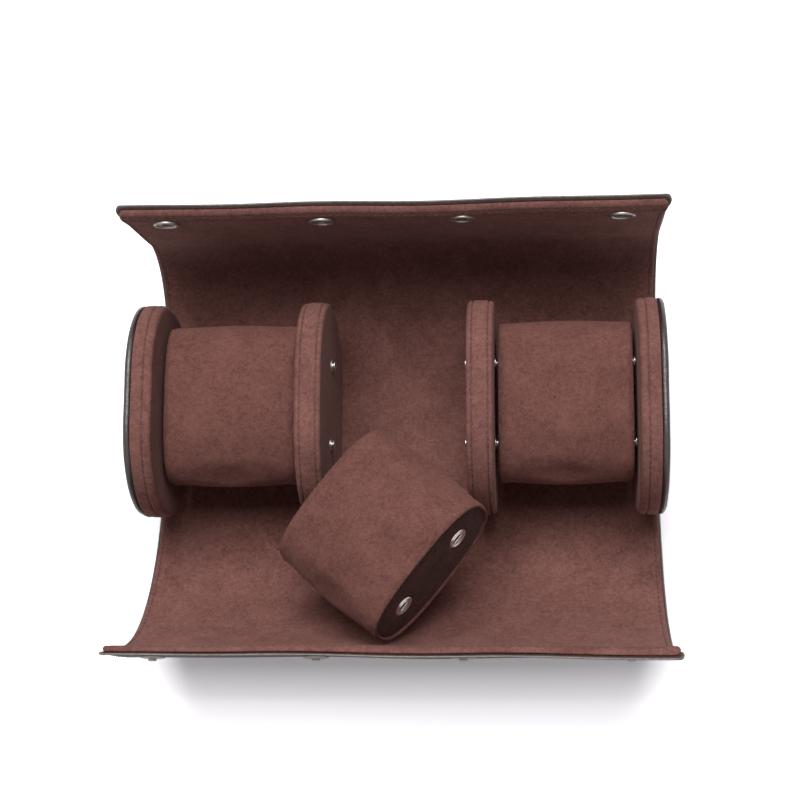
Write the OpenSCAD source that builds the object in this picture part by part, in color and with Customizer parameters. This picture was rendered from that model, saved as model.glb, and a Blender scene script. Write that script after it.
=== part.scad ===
// Watch travel roll for three watches, shown open and lying on its back.
// X runs along the roll, +Y is the rear flap, +Z is up. Z = 0 is the outer
// leather of the back, where the roll rests. The origin is the middle of it.

/* [Bays] */
// Clear width of each of the three watch bays
bay_w = 58.4; // [50:0.2:70]
// Thickness of a padded divider
divider_t = 11; // [8:0.5:16]
// Thickness of an end plate, leather face included
end_t = 11.5; // [10:0.5:20]
// Width of the plates, front to rear
plate_w = 89; // [84:1:96]
// Height of the plates above the lining
plate_h = 77; // [72:1:84]
// Corner radius of the plates
plate_r = 34; // [28:1:35]

/* [Wrap] */
// Thickness of the outer leather
leather_t = 1.8; // [1.2:0.1:2.2]
// Thickness of the suede lining with its foam
lining_t = 1.2; // [0.8:0.1:1.6]
// Thickness of the stiffener board between them
board_t = 1; // [0.6:0.1:1.4]
// How far the lining stays inside the leather at the two ends
lining_inset = 0.8; // [0.4:0.1:1.5]
// Length of the rigid back either side of the middle
back_half = 20; // [16:1:24]

/* [Front flap] */
// Radius of the front flap's rest curve at the lining
front_r = 82; // [76:1:90]
// Number of panels that stand for the soft front flap
front_n = 5; // [5:1:5]
// Length of each front flap panel along the lining
front_step = 28.4; // [27:0.1:29]

/* [Rear flap] */
// Flat length of the rear flap before it turns up, from the middle of the back
rear_flat = 33; // [28:1:38]
// Radius of the rear flap's turn at the lining
rear_r = 40; // [36:1:46]
// Angle of the rear flap's turn, more than 90 leans its top inwards
rear_turn = 95; // [88:1:100]
// Number of panels that stand for the soft rear flap
rear_n = 4; // [4:1:4]
// Length of each rear flap panel along the lining
rear_step = 32.6; // [30:0.1:33]

/* [Plates] */
// Wall of the suede cover with its wadding
cover_t = 1.6; // [1.2:0.1:2.5]
// Thickness of the leather on the outside of an end plate
face_t = 1.4; // [1:0.1:2]
// Diameter of the leather piping round an end plate
piping_d = 3; // [2:0.2:4]

/* [Cushions] */
// Width of a cushion, front to rear
cushion_w = 69; // [64:1:74]
// Height of a cushion
cushion_h = 40; // [34:1:44]
// Wall of the cushion's suede cover
cushion_wall = 1.5; // [1:0.1:2.5]
// Thickness of the stiff panel in each end of a cushion
end_panel_t = 2; // [1.6:0.1:3]
// Height of the cushion's middle above the lining
cushion_z = 42.5; // [38:0.5:46]
// How far the cushions sit behind the middle of the plates
cushion_y = 1.5; // [0:0.5:4]
// Place of the middle of the loose cushion
loose_at = [-4.6, -56, 70];
// Turn of the loose cushion about X, Y and Z
loose_turn = [2, -16, -39.5];

/* [Snaps] */
// Distance between the two studs on a face
stud_pitch = 34; // [28:1:40]
// How far a stud stands out of its plate
stud_proud = 2; // [1.5:0.1:2.5]
// Diameter of a stud's head
stud_head_d = 3.6; // [3:0.1:4]
// Diameter of the flange under a stud
stud_flange_d = 5.4; // [5:0.2:8]
// Gap between a stud's tip and the socket face
snap_clear = 0.3; // [0.2:0.05:0.5]
// Outer diameter of a cushion socket
socket_d = 9; // [8.8:0.1:11]
// Bore of a cushion socket
socket_bore = 4.4; // [4.1:0.1:5]
// Outer diameter of a closure snap
closure_d = 12; // [10:0.5:13]
// Distance from a flap's free edge to its row of closure snaps
closure_in = 9.5; // [9:0.5:11]
// Spacing of the two inner closure snaps
closure_inner = 57; // [50:1:70]
// Spacing of the two outer closure snaps
closure_outer = 185; // [170:1:190]

/* [Hidden] */
eps = 0.01;

// Colours
leather_c = "#2a1b19";
suede_c = "#7a524c";
dark_suede_c = "#3b2624";
board_c = "#b9a88c";
foam_c = "#d9d2c4";
metal_c = "#c9c7c2";

// Whole roll
wrap_t = leather_t + board_t + lining_t;
case_w = 3 * bay_w + 2 * divider_t + 2 * end_t;
divider_x = bay_w / 2 + divider_t / 2;
end_in_x = bay_w * 1.5 + divider_t;
bay_x = bay_w + divider_t;
seam_gap = 0.3;

// Wrap curve: s is the distance along the lining from the middle of the back,
// positive to the rear, and d is the depth below the lining's face.
function front_pt(s, d) =
    let (a = (s - back_half) / front_r * 180 / PI)
    s <= back_half
        ? [-s, wrap_t - d]
        : [-(back_half + (front_r + d) * sin(a)), wrap_t + front_r - (front_r + d) * cos(a)];
function rear_pt(s, d) =
    let (turn = rear_r * rear_turn * PI / 180, run = min(max(s - rear_flat, 0), turn))
    let (a = run / rear_r * 180 / PI, up = max(0, s - rear_flat - turn))
    s <= rear_flat
        ? [s, wrap_t - d]
        : [rear_flat + (rear_r + d) * sin(a) + up * cos(a),
           wrap_t + rear_r - (rear_r + d) * cos(a) + up * sin(a)];
function wrap_pt(s, d) = s < 0 ? front_pt(-s, d) : rear_pt(s, d);
// Direction of the wrap's outward normal at s, as an angle from straight down
function front_lean(s) = -(s - back_half) / front_r * 180 / PI;

module along_x(w) {
    rotate([90, 0, 90])
        translate([0, 0, -w / 2])
            linear_extrude(height = w)
                children();
}

// One layer of the wrap from s0 to s1 and from depth d0 to d1
module wrap_layer(s0, s1, d0, d1, w, steps = 9) {
    ss = [for (i = [0 : steps]) s0 + (s1 - s0) * i / steps];
    inner = [for (s = ss) wrap_pt(s, d0)];
    outer = [for (i = [steps : -1 : 0]) wrap_pt(ss[i], d1)];
    along_x(w) polygon(concat(inner, outer));
}

/* ---- Plate outlines ---- */

function plate_pts(inset, n = 12) =
    let (r = plate_r - inset, cy = plate_w / 2 - plate_r, cz = plate_h / 2 - plate_r)
    [for (q = [0 : 3], i = [0 : n])
        let (a = q * 90 + i * 90 / n)
        [(q == 0 || q == 3 ? cy : -cy) + r * cos(a), (q < 2 ? cz : -cz) + r * sin(a)]];

plate_z = wrap_t + plate_h / 2;

// A slab with the plates' outline, from x0 to x1
module plate_slab(x0, x1, inset) {
    translate([(x0 + x1) / 2, 0, plate_z])
        along_x(x1 - x0)
            polygon(plate_pts(inset));
}

stud_y = [cushion_y - stud_pitch / 2, cushion_y + stud_pitch / 2];
stud_z = wrap_t + cushion_z;
shank_d = 3;
shank_clear = 0.1;

// Points for the two studs or sockets on a plate's face at x
module at_studs(x) {
    for (y = stud_y)
        translate([x, y, stud_z])
            children();
}

// Holes for stud shanks in the face at x that looks towards side
module stud_holes(x, side) {
    at_studs(x)
        rotate([0, 90 * side, 0])
            translate([0, 0, -cover_t - eps])
                cylinder(d = shank_d + 2 * shank_clear, h = cover_t + 2 * eps, $fn = 32);
}

/* ---- Back ---- */

module back_leather() {
    color(leather_c)
        wrap_layer(-back_half, back_half, lining_t + board_t, wrap_t, case_w, 1);
}

module back_board() {
    color(board_c)
        wrap_layer(-back_half, back_half, lining_t, lining_t + board_t, case_w - 2 * lining_inset, 1);
}

module back_lining() {
    color(suede_c)
        wrap_layer(-back_half, back_half, 0, lining_t, case_w - 2 * lining_inset, 1);
}

/* ---- End plates and dividers ---- */

piping_r = piping_d / 2;
face_inset = piping_d;

module end_core(side) {
    color(board_c)
        mirror([side < 0 ? 1 : 0, 0, 0]) {
            plate_slab(end_in_x + cover_t, end_in_x + end_t - piping_d, cover_t);
            plate_slab(end_in_x + end_t - piping_d, end_in_x + end_t - face_t, face_inset);
        }
}

module end_cover(side) {
    color(suede_c)
        mirror([side < 0 ? 1 : 0, 0, 0])
            difference() {
                plate_slab(end_in_x, end_in_x + end_t - piping_d, 0);
                plate_slab(end_in_x + cover_t, end_in_x + end_t, cover_t);
                stud_holes(end_in_x, -1);
            }
}

module end_face(side) {
    color(leather_c)
        mirror([side < 0 ? 1 : 0, 0, 0])
            plate_slab(end_in_x + end_t - face_t, end_in_x + end_t, face_inset);
}

// Piping: a round cord in leather that follows the plate's outline
module end_piping(side) {
    x = end_in_x + end_t - piping_r;
    cy = plate_w / 2 - plate_r;
    cz = plate_h / 2 - plate_r;
    r = plate_r - piping_r;
    color(leather_c)
        mirror([side < 0 ? 1 : 0, 0, 0])
            translate([x, 0, plate_z])
                rotate([90, 0, 90]) {
                    for (q = [0 : 3])
                        translate([q == 0 || q == 3 ? cy : -cy, q < 2 ? cz : -cz, 0])
                            rotate([0, 0, q * 90])
                                rotate_extrude(angle = 90, $fn = 64)
                                    translate([r, 0]) circle(d = piping_d, $fn = 20);
                    for (s = [-1, 1]) {
                        translate([-cy, s * (cz + r), 0])
                            rotate([0, 90, 0]) cylinder(d = piping_d, h = 2 * cy, $fn = 20);
                        translate([s * (cy + r), cz, 0])
                            rotate([90, 0, 0]) cylinder(d = piping_d, h = 2 * cz, $fn = 20);
                    }
                }
}

module divider_core(side) {
    x = side * divider_x;
    half = divider_t / 2 - cover_t;
    color(board_c) plate_slab(x - half, x + half, cover_t);
}

module divider_cover(side) {
    x = side * divider_x;
    half = divider_t / 2;
    color(suede_c)
        difference() {
            plate_slab(x - half, x + half, 0);
            plate_slab(x - half + cover_t, x + half - cover_t, cover_t);
            stud_holes(x - half, -1);
            stud_holes(x + half, 1);
        }
}

/* ---- Snap studs on the plates ---- */

flange_t = 0.5;
stud_neck_d = 2.6;

// A stud that stands along +Z on the face at z = 0, with its shank below
module stud(proud) {
    head = proud * 0.5;
    rotate_extrude($fn = 48)
        polygon([
            [0, -cover_t + 0.1], [shank_d / 2, -cover_t + 0.1], [shank_d / 2, 0],
            [stud_flange_d / 2, 0], [stud_flange_d / 2, flange_t * 0.6],
            [stud_flange_d / 2 - 0.6, flange_t], [stud_neck_d / 2, flange_t],
            [stud_neck_d / 2, proud - head], [stud_head_d / 2, proud - head * 0.7],
            [stud_head_d / 2, proud - head * 0.45], [stud_head_d * 0.3, proud], [0, proud]
        ]);
}

module face_studs(x, side) {
    color(metal_c)
        at_studs(x)
            rotate([0, 90 * side, 0])
                stud(stud_proud);
}

module left_end_studs() face_studs(-end_in_x, 1);
module right_end_studs() face_studs(end_in_x, -1);

module divider_studs(side) {
    face_studs(side * divider_x - divider_t / 2, -1);
    face_studs(side * divider_x + divider_t / 2, 1);
}

/* ---- Cushions, drawn about their own middle with X along their length ---- */

cushion_l = bay_w - 2 * (stud_proud + snap_clear);
cushion_power = 2.7;
socket_seat = 0.05;

// Rounded oval section, flatter than an ellipse
function oval_pts(w, h, n = 64) =
    [for (i = [0 : n - 1])
        let (a = i * 360 / n, c = cos(a), s = sin(a))
        [sign(c) * pow(abs(c), 2 / cushion_power) * w / 2,
         sign(s) * pow(abs(s), 2 / cushion_power) * h / 2]];

module oval_bar(l, inset) {
    along_x(l) polygon(oval_pts(cushion_w - 2 * inset, cushion_h - 2 * inset));
}

module cushion_foam() {
    color(foam_c) oval_bar(cushion_l - 2 * end_panel_t, cushion_wall);
}

module cushion_cover() {
    color(suede_c)
        difference() {
            oval_bar(cushion_l, 0);
            oval_bar(cushion_l + 1, cushion_wall);
        }
}

module cushion_at_sockets() {
    for (side = [-1, 1], y = [-stud_pitch / 2, stud_pitch / 2])
        translate([side * cushion_l / 2, y, 0])
            rotate([0, 90 * side, 0])
                children();
}

module cushion_end_panels() {
    color(dark_suede_c)
        difference() {
            for (side = [-1, 1])
                translate([side * (cushion_l - end_panel_t) / 2, 0, 0])
                    oval_bar(end_panel_t, cushion_wall);
            cushion_at_sockets()
                translate([0, 0, -end_panel_t - eps])
                    cylinder(d = socket_d + 2 * socket_seat, h = end_panel_t + 1, $fn = 48);
        }
}

// Spring socket: a rolled rim round a dished plate with a bore, and two spring
// wires just behind the plate that grip the neck of a stud
socket_plate_t = 0.3;
socket_rim = 0.9;
spring_d = 0.5;
module spring_socket() {
    rim_in = socket_d / 2 - socket_rim;
    dish = rim_in - 0.6;
    lip = socket_bore / 2;
    rotate_extrude($fn = 48)
        polygon([
            [lip, -0.1], [lip + 0.6, 0], [dish, -0.35], [rim_in, 0],
            [socket_d / 2 - 0.3, 0], [socket_d / 2, -0.3], [socket_d / 2, -end_panel_t],
            [socket_d / 2 - 0.4, -end_panel_t], [socket_d / 2 - 0.4, -0.35 - socket_plate_t],
            [dish, -0.35 - socket_plate_t], [lip + 0.6, -socket_plate_t],
            [lip, -0.1 - socket_plate_t]
        ]);
    for (s = [-1, 1])
        translate([s * stud_neck_d / 2, 0, -socket_plate_t - 0.1 - spring_d / 2])
            rotate([90, 0, 0])
                cylinder(d = spring_d, h = socket_bore + 0.8, center = true, $fn = 16);
}

module cushion_sockets() {
    color(metal_c) cushion_at_sockets() spring_socket();
}

module seat(side) {
    translate([side * bay_x, cushion_y, wrap_t + cushion_z]) children();
}

module loose() {
    translate(loose_at) rotate(loose_turn) children();
}

/* ---- Flaps ---- */

function front_s(i) = back_half + i * front_step;
function rear_s(i) = back_half + i * rear_step;
front_end = front_s(front_n);
rear_end = rear_s(rear_n);
flap_lining_t = lining_t + board_t;

module front_layer(i, d0, d1, w) {
    last = i == front_n ? 0 : seam_gap / 2;
    wrap_layer(-front_s(i - 1) - seam_gap / 2, -front_s(i) + last, d0, d1, w);
}

module rear_layer(i, d0, d1, w) {
    last = i == rear_n ? 0 : seam_gap / 2;
    wrap_layer(rear_s(i - 1) + seam_gap / 2, rear_s(i) - last, d0, d1, w, 12);
}

closure_x = [-closure_outer / 2, -closure_inner / 2, closure_inner / 2, closure_outer / 2];
closure_shank_d = 4;
front_snap_s = front_end - closure_in;
rear_snap_s = rear_end - closure_in;

// Children stand with +Z out of the leather at the front closure row
module at_front_closure() {
    a = front_lean(front_snap_s);
    p = wrap_pt(-front_snap_s, wrap_t);
    for (x = closure_x)
        translate([x, p[0], p[1]])
            rotate([180 + a, 0, 0])
                children();
}

// Children stand with +Z out of the leather at the rear closure row
module at_rear_closure() {
    p = wrap_pt(rear_snap_s, wrap_t);
    for (x = closure_x)
        translate([x, p[0], p[1]])
            rotate([rear_turn - 180, 0, 0])
                children();
}

module front_leather(i) {
    color(leather_c)
        difference() {
            front_layer(i, flap_lining_t, wrap_t, case_w);
            if (i == front_n)
                at_front_closure()
                    translate([0, 0, -leather_t - eps])
                        cylinder(d = shank_d + 2 * shank_clear, h = leather_t + 1, $fn = 32);
        }
}

module front_lining(i) {
    color(suede_c) front_layer(i, 0, flap_lining_t, case_w - 2 * lining_inset);
}

module rear_leather(i) {
    color(leather_c)
        difference() {
            rear_layer(i, flap_lining_t, wrap_t, case_w);
            if (i == rear_n)
                at_rear_closure()
                    translate([0, 0, -leather_t - eps])
                        cylinder(d = closure_shank_d + 2 * shank_clear, h = leather_t + 1, $fn = 32);
        }
}

module rear_lining(i) {
    color(suede_c)
        difference() {
            rear_layer(i, 0, flap_lining_t, case_w - 2 * lining_inset);
            if (i == rear_n)
                at_rear_closure()
                    translate([0, 0, -wrap_t - 1])
                        cylinder(d = closure_shank_d + 2 * shank_clear, h = flap_lining_t + 2, $fn = 32);
        }
}

// Stud half of a closure snap, riveted in the leather near the front flap's edge
module closure_stud() {
    rotate_extrude($fn = 48)
        polygon([
            [0, -leather_t + 0.1], [shank_d / 2, -leather_t + 0.1], [shank_d / 2, 0],
            [closure_d / 2 - 1, 0], [closure_d / 2 - 1, 0.3], [closure_d / 2 - 1.6, 0.5],
            [1.4, 0.5], [1.4, 0.9], [1.8, 1.1], [1.8, 1.3], [1.2, 1.6], [0, 1.6]
        ]);
}

module front_flap_snap_studs() {
    color(metal_c) at_front_closure() closure_stud();
}

// Cap and shank, pressed through the rear flap from outside
module closure_cap() {
    rotate_extrude($fn = 48)
        polygon([
            [0, -wrap_t + 0.2], [closure_shank_d / 2, -wrap_t + 0.2], [closure_shank_d / 2, 0],
            [closure_d / 2, 0], [closure_d / 2, 0.3], [closure_d / 2 - 0.5, 0.9],
            [closure_d / 2 - 1.8, 1.3], [closure_d / 2 - 3.5, 1.5], [0, 1.6]
        ]);
}

module rear_flap_snap_caps() {
    color(metal_c) at_rear_closure() closure_cap();
}

// Socket ring on the lining, round the cap's shank
module closure_socket() {
    proud = 0.8;
    rotate_extrude($fn = 48)
        polygon([
            [closure_shank_d / 2 + shank_clear, -wrap_t],
            [closure_d / 2 - 0.6, -wrap_t], [closure_d / 2 - 0.6, -wrap_t - 0.4],
            [closure_d / 2 - 1, -wrap_t - proud], [closure_d / 2 - 2, -wrap_t - proud],
            [closure_d / 2 - 2.4, -wrap_t - 0.4],
            [closure_shank_d / 2 + shank_clear, -wrap_t - 0.4]
        ]);
}

module rear_flap_snap_sockets() {
    color(metal_c) at_rear_closure() closure_socket();
}

/* ---- The roll ---- */

back_leather();
back_board();
back_lining();
end_core(-1);  // left_end_core
end_cover(-1);  // left_end_cover
end_face(-1);  // left_end_face
end_piping(-1);  // left_end_piping
end_core(1);  // right_end_core
end_cover(1);  // right_end_cover
end_face(1);  // right_end_face
end_piping(1);  // right_end_piping
divider_core(-1);  // left_divider_core
divider_cover(-1);  // left_divider_cover
divider_core(1);  // right_divider_core
divider_cover(1);  // right_divider_cover
left_end_studs();
divider_studs(-1);  // left_divider_studs
divider_studs(1);  // right_divider_studs
right_end_studs();
seat(-1) cushion_foam();  // left_cushion_foam
seat(-1) cushion_cover();  // left_cushion_cover
seat(-1) cushion_end_panels();  // left_cushion_end_panels
seat(-1) cushion_sockets();  // left_cushion_sockets
seat(1) cushion_foam();  // right_cushion_foam
seat(1) cushion_cover();  // right_cushion_cover
seat(1) cushion_end_panels();  // right_cushion_end_panels
seat(1) cushion_sockets();  // right_cushion_sockets
loose() cushion_foam();  // loose_cushion_foam
loose() cushion_cover();  // loose_cushion_cover
loose() cushion_end_panels();  // loose_cushion_end_panels
loose() cushion_sockets();  // loose_cushion_sockets
for (i = [1 : front_n]) {
    front_leather(i);
    front_lining(i);
}
for (i = [1 : rear_n]) {
    rear_leather(i);
    rear_lining(i);
}
front_flap_snap_studs();
rear_flap_snap_sockets();
rear_flap_snap_caps();
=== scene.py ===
import math

import bmesh
import bpy
import numpy as np
from mathutils import Euler, Matrix, Vector


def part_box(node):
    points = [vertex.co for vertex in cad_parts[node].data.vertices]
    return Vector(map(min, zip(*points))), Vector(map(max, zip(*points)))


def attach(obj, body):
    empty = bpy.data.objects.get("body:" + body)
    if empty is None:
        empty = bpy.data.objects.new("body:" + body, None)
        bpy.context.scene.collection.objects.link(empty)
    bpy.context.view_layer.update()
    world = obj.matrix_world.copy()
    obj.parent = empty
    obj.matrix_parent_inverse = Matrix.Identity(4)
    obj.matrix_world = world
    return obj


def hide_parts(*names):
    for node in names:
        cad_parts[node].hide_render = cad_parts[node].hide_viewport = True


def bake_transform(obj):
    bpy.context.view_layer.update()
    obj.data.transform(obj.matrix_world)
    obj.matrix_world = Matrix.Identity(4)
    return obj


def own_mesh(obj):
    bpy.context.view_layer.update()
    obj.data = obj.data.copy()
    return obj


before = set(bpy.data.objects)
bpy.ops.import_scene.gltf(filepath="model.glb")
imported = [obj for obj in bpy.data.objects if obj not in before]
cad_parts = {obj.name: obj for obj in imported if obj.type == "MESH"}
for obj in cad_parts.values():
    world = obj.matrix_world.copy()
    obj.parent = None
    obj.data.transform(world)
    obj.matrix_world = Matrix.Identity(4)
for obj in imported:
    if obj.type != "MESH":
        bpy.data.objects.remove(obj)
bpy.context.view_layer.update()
mm = 0.001

# ---------------------------------------------------------------------------
# Outer leather
# One long sheet of coated cow leather is the whole outside of the roll. It is
# cut, pared thin towards its edges and painted on the cut. It is made here as
# short lengths, one for each fold, in one smooth sheet.
# ---------------------------------------------------------------------------

roll_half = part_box("back_leather")[1].x
back_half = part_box("back_leather")[1].y
lining_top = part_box("back_lining")[1].z
leather_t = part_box("back_leather")[1].z

# The section of the roll and the lengths of its flaps.
front_radius = 82 * mm
rear_flat = 33 * mm
rear_radius = 40 * mm
rear_turn = math.radians(95)
front_step = 28.4 * mm
rear_step = 32.6 * mm
front_folds = 5
rear_folds = 4
front_end = back_half + front_folds * front_step
rear_end = back_half + rear_folds * rear_step

# How the lengths of sheet are drawn and where they bend.
back_strip = 14 * mm
first_bend = 5 * mm
bend_share = 0.4
row_gap = 1.5 * mm
lip_zone = 7 * mm
quarter_turn = np.linspace(0, math.pi / 2, 7)
weld_gap = 0.002 * mm

# Its corners, cut edge and sewn groove, and how softly it lies.
corner_round = 2.8 * mm
pared_run = 6 * mm
pared_share = 0.48
leather_stitch_in = 2.9 * mm
leather_groove = 0.16 * mm
groove_wide = 0.5 * mm
edge_paint_r = 0.42 * mm
seat_length = 44 * mm
free_run = 60 * mm
softness = 0.35 * mm
front_curl = 2.5 * mm
right_curl = 0.36
rear_curl = 3.0 * mm
curl_run = 5.5 * mm
corner_splay = 1.9 * mm
splay_run = 15 * mm


def wrap_section(s, depth):
    """Place in the section of the roll, (y, z), at a distance s along the lining from the
    middle of the back, towards the rear where s is positive, and at a depth below it."""
    if s < 0:
        turn = max(-s - back_half, 0) / front_radius
        out = front_radius + depth
        return (
            max(s, -back_half) - out * math.sin(turn),
            lining_top + front_radius - out * math.cos(turn),
        )
    turn = min(max(s - rear_flat, 0) / rear_radius, rear_turn)
    rise = max(0, s - rear_flat - rear_turn * rear_radius)
    out = rear_radius + depth
    return (
        min(s, rear_flat) + out * math.sin(turn) + rise * math.cos(turn),
        lining_top + rear_radius - out * math.cos(turn) + rise * math.sin(turn),
    )


def wrap_point(x, s, depth):
    """A point of the wrap, with the soft unevenness that both of its layers share. Both
    lips curl outwards, the front one more on the right, and their corners splay."""
    free = min(max((abs(s) - seat_length) / free_run, 0), 1)
    free = free * free * (3 - 2 * free)
    wave = math.sin(x * 41 + s * 23 + 0.6) * math.sin(s * 57 - x * 13)
    wave += 0.6 * math.sin(x * 83 - s * 31 + 2.1)
    depth += softness * free * wave
    from_edge = max((front_end if s < 0 else rear_end) - abs(s), 0)
    splay = corner_splay * max(1 - from_edge / splay_run, 0) ** 2 * x / roll_half
    curl = front_curl * (1 + right_curl * x / roll_half) if s < 0 else rear_curl
    depth += curl * max(1 - from_edge / curl_run, 0) ** 2
    y, z = wrap_section(s, depth)
    return (x + splay, y, z)


def columns(half):
    """Places across the roll, closer together by the sewn edges."""
    by_edge = [0, 0.5, 1, 1.4, 1.7, 2, 2.3, 2.6, 2.9, 3.2, 3.5, 3.9, 4.6, 6, 9, 14, 20]
    side = [half - d * mm for d in by_edge]
    middle = np.linspace(side[-1], -side[-1], 22)[1:-1]
    return [-x for x in side] + [-x for x in middle] + side[::-1]


def edge_distance(x, s, half, tip):
    """Distance from the sheet's nearest free edge, the side or the end of the flap."""
    return min(half - abs(x), abs(tip) - abs(s)) if tip else half - abs(x)


def pressed(distance, line, deep, wide=groove_wide):
    """How far a row of stitches pulls a face in, at a distance from the edge."""
    return deep * math.exp(-(((distance - line) / wide) ** 2))


def pared(thick, distance, thin):
    """Half thickness at a distance from an edge towards which the leather is pared."""
    return thick * (1 - thin * min(max(1 - distance / pared_run, 0), 1))


def sheet_rows(start, stop, half, edge, tip):
    """Rows (s, half width, roundness) of a length of sheet. At a free end the corners
    are rounded and the edge, of that half thickness, is a full round."""
    count = max(int(abs(stop - start) / row_gap), 6)
    ends = stop if not tip else stop - math.copysign(lip_zone, stop)
    rows = [(s, half, 1) for s in np.linspace(start, ends, count)]
    if not tip:
        return rows
    way = math.copysign(1, stop)
    left = [6.2, 5.6, 5, 4.4, 3.9, 3.5, 3.2, 2.9, 2.6, 2.3, 2, 1.7, 1.4, 1.15, 0.9]
    spots = [d * mm for d in left if d * mm > edge]
    spots += [edge * (1 - math.sin(a)) for a in quarter_turn]
    for gap in spots:
        painted_lift_strength = max(corner_round - gap, 0)
        narrow = corner_round - math.sqrt(max(corner_round**2 - painted_lift_strength**2, 0))
        share = min(gap / edge, 1)
        rows.append((stop - way * gap, half - narrow, math.sqrt(1 - (1 - share) ** 2)))
    return rows


def tube_sides(rings, around, first=0):
    """Faces between rings of points, the very first of which has the number first."""
    faces = []
    for low in range(first, first + (rings - 1) * around, around):
        for i in range(around):
            j = (i + 1) % around
            faces.append((low + i, low + j, low + around + j, low + around + i))
    return faces


def tube_faces(rings, around, first=0):
    """The same, with one face across each end."""
    last = first + (rings - 1) * around
    ends = [list(range(start, start + around)) for start in (first, last)]
    return tube_sides(rings, around, first) + ends


def sheet_mesh(name, start, stop, half, near, far, stitch_in, deep, tip, thin=0):
    """A closed length of sheet between two depths, with full round edges."""
    thick = (far - near) / 2
    edge = thick * (1 - thin)
    points, loops = [], []
    arc = [math.radians(a) for a in (60, 30, 0, -30, -60)]
    for s, wide, fat in sheet_rows(start, stop, half, edge, tip):
        fat = max(fat, 0.01)
        side = edge * fat
        flat = columns(wide - side)
        gaps = [edge_distance(x, s, half, tip) for x in flat]
        body = [pared(thick, gap, thin) for gap in gaps]
        pull = [pressed(gap, stitch_in, deep) * fat for gap in gaps]
        face = list(zip(flat, body, pull))
        bend = [(side * math.cos(a), side * math.sin(a)) for a in arc]
        loop = [(x, near + t - t * fat + p) for x, t, p in face]
        loop += [(wide - side + out, near + edge - up) for out, up in bend]
        loop += [(x, near + t + t * fat - p) for x, t, p in face[::-1]]
        loop += [(side - wide - out, near + edge + up) for out, up in bend]
        loops.append(range(len(points), len(points) + len(loop)))
        points += [wrap_point(x, s, d) for x, d in loop]
    size = len(loops[0])
    across = len(flat)
    faces = tube_sides(len(loops), size)
    for loop in (loops[0], loops[-1]):
        for i in range(across - 1):
            k = 2 * across + len(arc) - 1 - i
            faces.append((loop[i], loop[i + 1], loop[k - 1], loop[k]))
        faces.append([loop[i] for i in range(across - 1, across + len(arc) + 1)])
        faces.append([loop[i % size] for i in range(2 * across + len(arc) - 1, size + 1)])
    return closed_mesh(name, points, faces, [set(loops[0]), set(loops[-1])])


def closed_mesh(name, points, faces, ends=()):
    """A smooth mesh with outward faces, sharp round each of its cut ends."""
    mesh = bpy.data.meshes.new(name)
    mesh.from_pydata([tuple(p) for p in points], [], [tuple(f) for f in faces])
    shape = bmesh.new()
    shape.from_mesh(mesh)
    shape.verts.ensure_lookup_table()
    for face in shape.faces:
        face.smooth = True
    for edge in shape.edges:
        a, b = (v.index for v in edge.verts)
        edge.smooth = not any(a in end and b in end for end in ends)
    bmesh.ops.remove_doubles(shape, verts=shape.verts, dist=weld_gap)
    bmesh.ops.recalc_face_normals(shape, faces=shape.faces)
    shape.to_mesh(mesh)
    shape.free()
    made = bpy.data.objects.new(name, mesh)
    bpy.context.scene.collection.objects.link(made)
    return made


def add(tree, kind, **values):
    """A shader node of that kind, with the values of its sockets."""
    made = tree.nodes.new("ShaderNode" + kind)
    for socket, value in values.items():
        made.inputs[socket.replace("_", " ")].default_value = value
    return made


def new_finish(name, rough, specular=0.5):
    """An empty finish and the parts of it that every finish fills in."""
    finish = bpy.data.materials.new(name)
    finish.use_nodes = True
    tree = finish.node_tree
    shader = tree.nodes["Principled BSDF"]
    shader.inputs["Roughness"].default_value = rough
    shader.inputs["Specular IOR Level"].default_value = specular
    place = tree.nodes.new("ShaderNodeTexCoord").outputs["Object"]
    return finish, tree, shader, place


def noise(tree, place, scale, detail, roughness, **more):
    """The value of a noise texture."""
    made = add(tree, "TexNoise", Scale=scale, Detail=detail, Roughness=roughness, **more)
    tree.links.new(place, made.inputs["Vector"])
    return made.outputs["Fac"]


def spread(tree, value, low, high, **ends):
    """A value that runs from low to high while the first runs from 0 to 1."""
    made = add(tree, "MapRange", To_Min=low, To_Max=high, **ends)
    tree.links.new(value, made.inputs["Value"])
    return made.outputs["Result"]


def colour_ramp(tree, value, dark, light, dark_at=0, light_at=1):
    """A colour that runs from dark to light with a value."""
    made = tree.nodes.new("ShaderNodeValToRGB")
    stops = made.color_ramp.elements
    stops[0].position = dark_at
    stops[0].color = (*dark, 1)
    stops[1].position = light_at
    stops[1].color = (*light, 1)
    tree.links.new(value, made.inputs["Fac"])
    return made.outputs["Color"]


def scaled(tree, colour, factor):
    """A colour times a value."""
    made = tree.nodes.new("ShaderNodeVectorMath")
    made.operation = "SCALE"
    tree.links.new(colour, made.inputs[0])
    tree.links.new(factor, made.inputs["Scale"])
    return made.outputs["Vector"]


def join_bumps(tree, shader, bumps):
    """Chains bumps of (height socket, distance, strength) into the shader's normal."""
    last = None
    for height, distance, strength in bumps:
        bump = add(tree, "Bump", Strength=strength, Distance=distance)
        tree.links.new(height, bump.inputs["Height"])
        if last:
            tree.links.new(last, bump.inputs["Normal"])
        last = bump.outputs["Normal"]
    tree.links.new(last, shader.inputs["Normal"])


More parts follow.
